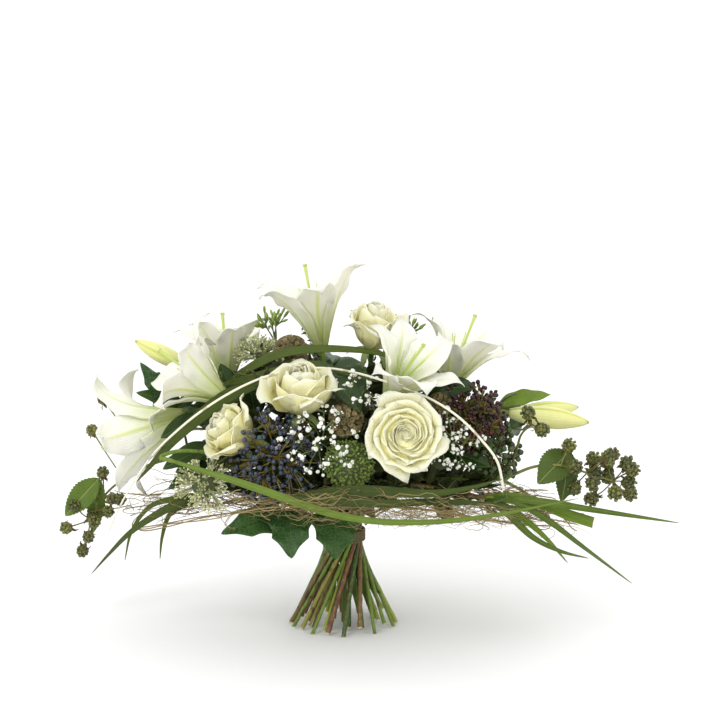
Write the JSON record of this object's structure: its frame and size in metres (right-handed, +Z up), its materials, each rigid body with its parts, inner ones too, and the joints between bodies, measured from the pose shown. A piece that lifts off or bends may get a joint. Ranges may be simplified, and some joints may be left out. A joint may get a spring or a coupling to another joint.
{
  "type": "flower bouquet",
  "caption": "Wide, low hand-tied bouquet of white lilies and cream roses with berries, ivy and trailing strap leaves, standing on its splayed, spiralled cut stems.",
  "frame": {"origin": "middle of the bounding box, at the level of the cut stem ends that it stands on", "axes": "+Z up along the bundle of stems; +X along the bouquet's length; -Y is the front that the picture shows"},
  "size_m": [0.7426, 0.3958, 0.4415],
  "materials": {
    "berry_blue": "bloomed berry skin",
    "berry_green": "matt berry skin",
    "berry_purple": "bloomed berry skin",
    "blade_green": "waxy leaf",
    "bramble_green": "unripe fruit and twig",
    "bud_yellow": "smooth waxy bud",
    "cane_ivory": "peeled cane",
    "fibre_brown": "raw plant fibre",
    "grass_green": "waxy leaf",
    "gyp_white": "small papery florets",
    "ivy_green": "glossy leaf",
    "lace_green": "close matt florets",
    "lily_white": "soft waxy petal",
    "pistil_green": "smooth",
    "rose_cream": "soft velvety petal",
    "seed_brown": "dry seed head",
    "stem_green": "fresh green bark",
    "twine_brown": "twisted twine",
    "umbel_green": "close matt florets"
  },
  "bodies": {
    "root": {"arc_blade_left": "blade_green", "arc_blades": "blade_green", "bramble_left": "bramble_green", "bramble_right": "bramble_green", "bud_sprig_left": "grass_green", "bud_sprig_right": "grass_green", "cane": "cane_ivory", "collar": "fibre_brown", "foliage_back": "ivy_green", "foliage_back_left": "ivy_green", "foliage_back_right": "ivy_green", "foliage_left": "ivy_green", "foliage_right": "ivy_green", "front_blades": "blade_green", "grass_back": "grass_green", "grass_left": "grass_green", "grass_right": "grass_green", "green_umbel": "umbel_green", "gypsophila_front": "gyp_white", "gypsophila_middle": "gyp_white", "gypsophila_right": "gyp_white", "ivy_berries": "berry_green", "ivy_leaf_back": "ivy_green", "ivy_leaf_left": "ivy_green", "ivy_leaf_middle": "ivy_green", "ivy_leaf_right": "ivy_green", "ivy_leaf_upper": "ivy_green", "lace_left": "lace_green", "lace_top": "lace_green", "lily_bud_left": "bud_yellow", "lily_bud_right": "bud_yellow", "lily_centre": "lily_white", "lily_far_left": "lily_white", "lily_leaf_right": "grass_green", "lily_left_back": "lily_white", "lily_left_front": "lily_white", "lily_right": "lily_white", "lily_top": "lily_white", "pistil_centre": "pistil_green", "pistil_far_left": "pistil_green", "pistil_left_back": "pistil_green", "pistil_left_front": "pistil_green", "pistil_right": "pistil_green", "pistil_top": "pistil_green", "rose_back": "rose_cream", "rose_back_right": "rose_cream", "rose_front": "rose_cream", "rose_left": "rose_cream", "rose_middle": "rose_cream", "rose_top": "rose_cream", "scabious_middle": "seed_brown", "scabious_right": "seed_brown", "scabious_top": "seed_brown", "stems": "stem_green", "swag_blade": "grass_green", "swag_blade_back": "blade_green", "tie": "twine_brown", "viburnum_back": "berry_blue", "viburnum_blue": "berry_blue", "viburnum_dark": "berry_purple"}
  },
  "joints": []
}
